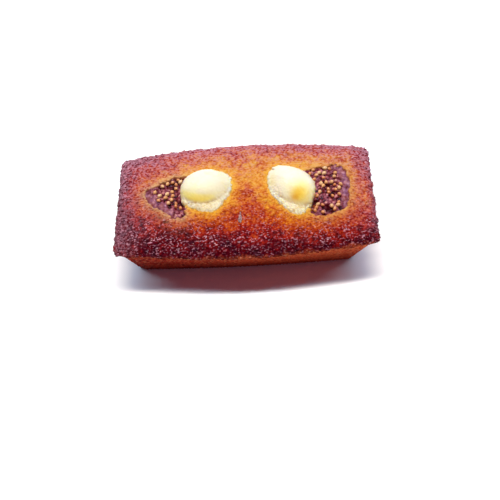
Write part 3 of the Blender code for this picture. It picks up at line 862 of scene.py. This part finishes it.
CREAM_MIDDLES = {"left": (-13.7, 2.0), "right": (17.5, 0.6)}
CREAM_SPOKES, CREAM_RINGS, CREAM_WALL_RINGS = 240, 64, 2
CREAM_SEAT, CREAM_FOOT_RISE, CREAM_EDGE_RISE = 2.4, 0.8, 0.1
CREAM_SPREAD = 0.4
CREAM_RAGGED, CREAM_RAGGED_SPACING = 0.3, 1.2
FOOT_CRUMB, FOOT_CRUMB_SPACING = 0.36, 0.8
EDGE_SWELL, EDGE_SWELL_SPACING = 0.6, 1.3
SKIN_SWELL, SKIN_SWELL_SPACING = 0.35, 3.4
# Each ball stands out sharply on the side that crease_turn faces, in degrees, and melts away behind
BALLS = {
    "left": dict(x=-15.0, y=3.3, half_length=8.9, half_width=7.8, height=4.7, turn=10, crease_turn=-105),
    "right": dict(x=18.3, y=1.9, half_length=10.4, half_width=7.2, height=4.9, turn=-48, crease_turn=-50),
}
BALL_BLUNTNESS = 2.1
SHARP_SLOPE, MELTED_SLOPE = 0.95, 1.3
MELTED_REACH = 1.12
# The crumbs of the foot thin out where the ball reaches this share of its height
SHARP_FOOT, MELTED_FOOT = 0.2, 0.6
# The fold round a ball lies at this share of its reach
FOLD_AT, FOLD_WIDTH = 0.9, 0.19
FRONT_SLOPE_FROM, FRONT_SLOPE_RUN = 1.5, 5
HOLLOW_PLACE, HOLLOW_REACH, HOLLOW_DEPTH = (-12.6, 6.2), (2.0, 2.0), 0.35
CRACK_PLACE, CRACK_TURN, CRACK_LENGTH, CRACK_WIDTH, CRACK_DEPTH = (10.9, 9.6), -50, 1.3, 0.35, 1.0


def along_and_across(x, y, middle, direction):
    """How far a place is from a middle, along a direction in degrees and square to it."""
    turn = math.radians(direction)
    along = (x - middle[0]) * math.cos(turn) + (y - middle[1]) * math.sin(turn)
    across = (y - middle[1]) * math.cos(turn) - (x - middle[0]) * math.sin(turn)
    return along, across


def ball_share(side, x, y):
    """A ball's height over its foot, how melted its edge is and how deep in its fold, as shares of 1."""
    ball = BALLS[side]
    middle = (ball["x"], ball["y"])
    along, across = along_and_across(x, y, middle, ball["turn"])
    away = degrees_off(x, y, middle, ball["crease_turn"])
    melted = np.clip((away - 40) / 70, 0, 1)
    reach = np.hypot(along / ball["half_length"], across / ball["half_width"])
    reach /= between(1, MELTED_REACH, melted)
    fold = np.exp(-(((reach - FOLD_AT) / FOLD_WIDTH) ** 2)) * np.clip((80 - away) / 60, 0, 1)
    height = np.maximum(0, 1 - reach**BALL_BLUNTNESS) ** between(SHARP_SLOPE, MELTED_SLOPE, melted)
    return height, melted, fold


def model_cream(side):
    """A disc pulled out to the dollop's outline and raised in a ball over a low, crumbly foot."""
    loop, middle = cream_loops[side], CREAM_MIDDLES[side]
    name = "cream_dollop_" + side
    cream, share, angle, drop = model_disc(name, CREAM_SPOKES, CREAM_RINGS, CREAM_WALL_RINGS)
    edge = reach_of(loop, middle, angle) + CREAM_SPREAD
    ragged = wobble(edge * np.cos(angle), edge * np.sin(angle), 0, CREAM_RAGGED_SPACING, offset=150)
    reach = share * (edge + CREAM_RAGGED * ragged)
    x, y = middle[0] + reach * np.cos(angle), middle[1] + reach * np.sin(angle)
    ball, melted, fold = ball_share(side, x, y)
    rise = between(CREAM_FOOT_RISE, CREAM_EDGE_RISE, np.clip((share - 0.7) / 0.3, 0, 1) ** 2)
    z = crust_height(x, y) + rise + BALLS[side]["height"] * ball
    if side == "left":
        z -= HOLLOW_DEPTH * patch(x, y, HOLLOW_PLACE, HOLLOW_REACH)
    else:
        along, across = along_and_across(x, y, CRACK_PLACE, CRACK_TURN)
        crack = np.exp(-((along / CRACK_LENGTH) ** 2) - (across / CRACK_WIDTH) ** 2)
        z -= CRACK_DEPTH * crack
    seat = crust_height(*middle) - CREAM_SEAT
    write_places(cream, np.stack([x, y, between(z, seat, drop)], axis=1))
    smooth = cream.modifiers.new("settle", "SMOOTH")
    smooth.factor = 0.5
    smooth.iterations = 4
    apply_modifier(cream, smooth)

    foot = np.clip(1 - ball / between(SHARP_FOOT, MELTED_FOOT, melted), 0, 1) * (drop == 0)
    group_points(cream, "foot", foot)
    group_points(cream, "skin", drop == 0)
    crumbs = cell_texture("foot crumbs", FOOT_CRUMB_SPACING)
    rough = ruffle(cream, crumbs, -FOOT_CRUMB, "foot", middle=0.45)
    ruffle(cream, cloud_texture("skin", SKIN_SWELL_SPACING), SKIN_SWELL, "skin")
    ruffle(cream, cloud_texture("edge", EDGE_SWELL_SPACING), EDGE_SWELL, "foot")
    places = read_places(cream)
    solid_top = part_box("cream_" + side)[1][2] / MM
    places[:, 2] = np.minimum(places[:, 2], solid_top - MARGIN)
    write_places(cream, places)
    write_mask(cream, "foot_share", foot)
    write_mask(cream, "fold", fold)
    write_mask(cream, "painted_front_light", (BALLS[side]["y"] + FRONT_SLOPE_FROM - y) / FRONT_SLOPE_RUN)
    write_mask(cream, "melted", melted)
    # The toasted rim of the foot, and its walls, which the material lifts with painted light
    write_mask(cream, "toasted_edge_and_painted_light", (share - 0.92) / 0.08 + drop)
    write_mask(cream, "crumb", 0.5 + rough)
    if side == "right":
        write_mask(cream, "crack", crack)
    cream.data.shade_smooth()
    return cream


def near_spot(tree, here, spot, radii):
    """1 at a place, fading to 0 at these distances from it along each axis, all in millimetres."""
    away = add_node(tree, "VectorMath", operation="SUBTRACT")
    tree.links.new(here, away.inputs[0])
    away.inputs[1].default_value = [value * MM for value in spot]
    scaled = add_node(tree, "VectorMath", operation="DIVIDE")
    tree.links.new(away.outputs["Vector"], scaled.inputs[0])
    scaled.inputs[1].default_value = [value * MM for value in radii]
    length = add_node(tree, "VectorMath", operation="LENGTH")
    tree.links.new(scaled.outputs["Vector"], length.inputs[0])
    fade = add_node(tree, "MapRange", interpolation_type="SMOOTHSTEP")
    tree.links.new(length.outputs["Value"], fade.inputs["Value"])
    fade.inputs["From Min"].default_value = 1.0
    fade.inputs["From Max"].default_value = 0.0
    return fade.outputs[0]


# Where each dollop yellowed or browned: place, reach along each axis, colour and strength
CREAM_SPOTS = {
    "left": (((-12.6, 6.2, 28.0), (2.6, 2.2, 4.0), linear(250, 236, 180, 0.9), 0.6),),
    "right": (
        ((20.8, -3.2, 25.6), (6.2, 6.2, 7.0), linear(252, 228, 110, 0.82), 0.9),
        ((19.9, -4.5, 25.4), (4.9, 3.9, 5.0), linear(250, 204, 36, 0.78), 0.9),
        ((18.6, -5.3, 25.4), (2.4, 1.9, 3.0), linear(244, 172, 6, 0.8), 0.8),
        ((10.8, 3.0, 24.5), (3.0, 4.0, 4.0), linear(250, 228, 150, 0.8), 0.6),
    ),
}
# How strongly each dollop's fold is painted with yellow shade
FOLD_SHADE = {"left": 1.0, "right": 0.35}


def make_cream(side):
    """Baked cream cheese: ivory, yellow in its fold as painted shade, lighter on its front slope and melted
    side as painted light, and browned to gold in one spot.
    """
    material, tree, shader, here = new_material("cream cheese " + side)
    fine, specks = grain(tree, here, 900)
    ivory = ramp(tree, specks, (0.0, linear(250, 239, 214, 0.88)), (1.0, linear(252, 241, 221, 0.88)))
    # Painted light: the ball's front slope, which faces away from the lamps, lightened
    ivory = mix(tree, "MIX", attribute(tree, "painted_front_light", 0.85), ivory, linear(253, 244, 208, 0.74))
    crumb = attribute(tree, "crumb")
    dry = ramp(tree, crumb, (0.05, linear(242, 204, 136)), (0.4, linear(252, 228, 182, 0.9)))
    # Painted light: the melted side of the foot, shaded by its slope, lightened
    dry = mix(tree, "MIX", attribute(tree, "melted", 0.8), dry, linear(254, 243, 208, 0.8))
    # Painted shade: the fold under the ball painted yellow
    fold = attribute(tree, "fold", FOLD_SHADE[side])
    fold_shade = ramp(
        tree, fold,
        (0.0, linear(252, 242, 196, 0.8)), (0.5, linear(252, 236, 156, 0.75)),
        (1.0, linear(249, 224, 112, 0.7)),
    )
    in_fold = add_node(tree, "Clamp", Value=math_node(tree, "MULTIPLY", fold, 2.0)).outputs[0]
    ball = mix(tree, "MIX", in_fold, ivory, fold_shade)
    colour = mix(tree, "MIX", attribute(tree, "foot_share"), ball, dry)
    for spot, radii, tone, strength in CREAM_SPOTS[side]:
        share = math_node(tree, "MULTIPLY", near_spot(tree, here, spot, radii), strength)
        colour = mix(tree, "MIX", share, colour, tone)
    # Toasted edges, with painted light lifting the shaded walls to a warm beige
    colour = mix(tree, "MIX", attribute(tree, "toasted_edge_and_painted_light", 0.75), colour, linear(255, 208, 142, 0.8))
    if side == "right":
        colour = mix(tree, "MIX", attribute(tree, "crack"), colour, linear(150, 70, 30))
    tree.links.new(colour, shader.inputs["Base Color"])
    shader.inputs["Roughness"].default_value = 0.55
    shader.inputs["Subsurface Weight"].default_value = 1.0
    shader.inputs["Subsurface Radius"].default_value = (1.0, 0.85, 0.4)
    shader.inputs["Subsurface Scale"].default_value = 5.0 * MM
    bump(tree, shader, fine, 0.08)
    return material


for side in ("left", "right"):
    cream = model_cream(side)
    paint(cream, make_cream(side))
    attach(cream, "root")
    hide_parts("cream_" + side)

# The fleck: a scrap of dried fig skin that stuck in the crust between the two dollops, grey and thin,
# wider at its front end.

FLECK_PLACE, FLECK_TURN = (-1.5, -11.0), -5
FLECK_LENGTH, FLECK_WIDTH, FLECK_HEIGHT, FLECK_LIFT = 5.0, 2.0, 1.1, 0.1
FLECK_FOLD, FLECK_FOLD_SPACING = 0.3, 0.7


def model_fleck():
    """A flattened drop, folded all over."""
    bpy.ops.mesh.primitive_ico_sphere_add(subdivisions=4, radius=0.5)
    fleck = bpy.context.object
    fleck.name = fleck.data.name = "skin_fleck"
    body = read_places(fleck) * MM
    body[:, 0] *= FLECK_WIDTH * (0.55 - 0.85 * body[:, 1])
    body[:, 1] *= FLECK_LENGTH
    body[:, 2] *= FLECK_HEIGHT
    write_places(fleck, body)
    turn = Matrix.Rotation(math.radians(FLECK_TURN), 4, "Z")
    ground = float(crust_height(*FLECK_PLACE)[0]) + FLECK_LIFT
    fleck.data.transform(Matrix.Translation(Vector((*FLECK_PLACE, ground)) * MM) @ turn)
    ruffle(fleck, cell_texture("fleck folds", FLECK_FOLD_SPACING), -FLECK_FOLD)
    fleck.data.shade_smooth()
    return fleck


def make_fleck_finish():
    """Dried fig skin, dull purple-grey."""
    material, tree, shader, here = new_material("dried fig skin")
    fine, specks = grain(tree, here, 1500)
    colour = ramp(tree, specks, (0.1, linear(112, 60, 64)), (0.8, linear(196, 150, 146)))
    tree.links.new(colour, shader.inputs["Base Color"])
    shader.inputs["Roughness"].default_value = 0.5
    bump(tree, shader, fine, 0.1)
    return material


fleck = model_fleck()
paint(fleck, make_fleck_finish())
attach(fleck, "root")

# The floor: a plain white glazed surface, wide enough to fill the view from every side.

FLOOR_RADIUS = 0.9
bpy.ops.mesh.primitive_circle_add(vertices=96, radius=FLOOR_RADIUS, fill_type="NGON")
floor = bpy.context.object
floor.name = "floor"
material, tree, shader, here = new_material("white glaze")
shader.inputs["Base Color"].default_value = (0.96, 0.96, 0.97, 1)
shader.inputs["Roughness"].default_value = 0.3
floor.data.materials.append(material)
floor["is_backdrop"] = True

# The light: a long, cool strip almost overhead with a warm middle, a cooler window low at the back, a
# small warm card low in front, and an even, weak daylight all round.


def hang_lamp(name, azimuth, elevation, distance, size, power, colour):
    """An area lamp aimed at the cake. Azimuth 0 is behind the cake, and 90 is at its left."""
    turn, rise = math.radians(azimuth), math.radians(elevation)
    place = Vector((-math.sin(turn) * math.cos(rise), math.cos(turn) * math.cos(rise), math.sin(rise)))
    lamp = bpy.data.lights.new(name, "AREA")
    lamp.shape = "RECTANGLE"
    lamp.size, lamp.size_y = size
    lamp.energy = power
    lamp.color = colour
    holder = bpy.data.objects.new(name, lamp)
    bpy.context.scene.collection.objects.link(holder)
    holder.visible_camera = False
    holder.location = place * distance
    holder.rotation_euler = place.to_track_quat("Z", "Y").to_euler()


hang_lamp("overhead strip", 0, 80, 0.9, (2.2, 0.10), 16.8, (0.62, 0.82, 1.0))
hang_lamp("strip middle", 0, 80, 0.9, (0.5, 0.10), 5.6, (1.0, 0.76, 0.46))
hang_lamp("back window", 0, 28, 0.9, (0.9, 0.5), 2.9, (0.76, 0.82, 1.0))
hang_lamp("warm card", 180, 22, 0.16, (0.12, 0.05), 0.019, (1.0, 0.22, 0.25))

# The daylight lights the cake dimly, but the camera sees it pale
world = bpy.data.worlds.new("daylight")
bpy.context.scene.world = world
world.use_nodes = True
tree = world.node_tree
dim = tree.nodes["Background"]
dim.inputs["Color"].default_value = (0.9, 0.55, 0.9, 1)
dim.inputs["Strength"].default_value = 0.066
pale = add_node(tree, "Background", Color=(0.93, 0.93, 0.94, 1), Strength=1.0)
split = tree.nodes.new("ShaderNodeMixShader")
tree.links.new(tree.nodes.new("ShaderNodeLightPath").outputs["Is Camera Ray"], split.inputs[0])
tree.links.new(dim.outputs[0], split.inputs[1])
tree.links.new(pale.outputs[0], split.inputs[2])
tree.links.new(split.outputs[0], tree.nodes["World Output"].inputs["Surface"])

# The camera: held over the bar's front, a little to its right, and slightly turned.

CAMERA_PLACE = (11.16, -155.01, 226.56)
CAMERA_RIGHT = (0.9979, -0.0228, -0.0608)
CAMERA_UP = (0.0518, 0.8439, 0.5341)
LENS, SENSOR = 50.08, 36.0

lens = bpy.data.cameras.new("camera")
lens.lens = LENS
lens.sensor_width = SENSOR
lens.clip_start = 0.01
camera = bpy.data.objects.new("camera", lens)
bpy.context.scene.collection.objects.link(camera)
right, up = Vector(CAMERA_RIGHT), Vector(CAMERA_UP)
turn = Matrix((right, up, right.cross(up))).transposed().to_4x4()
camera.matrix_world = Matrix.Translation(Vector(CAMERA_PLACE) * MM) @ turn
bpy.context.scene.camera = camera
bpy.context.scene.view_settings.view_transform = "Standard"

boxes = {"cad": cad_box, "visual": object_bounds()}
{name: [list(corner) for corner in box] for name, box in boxes.items()}
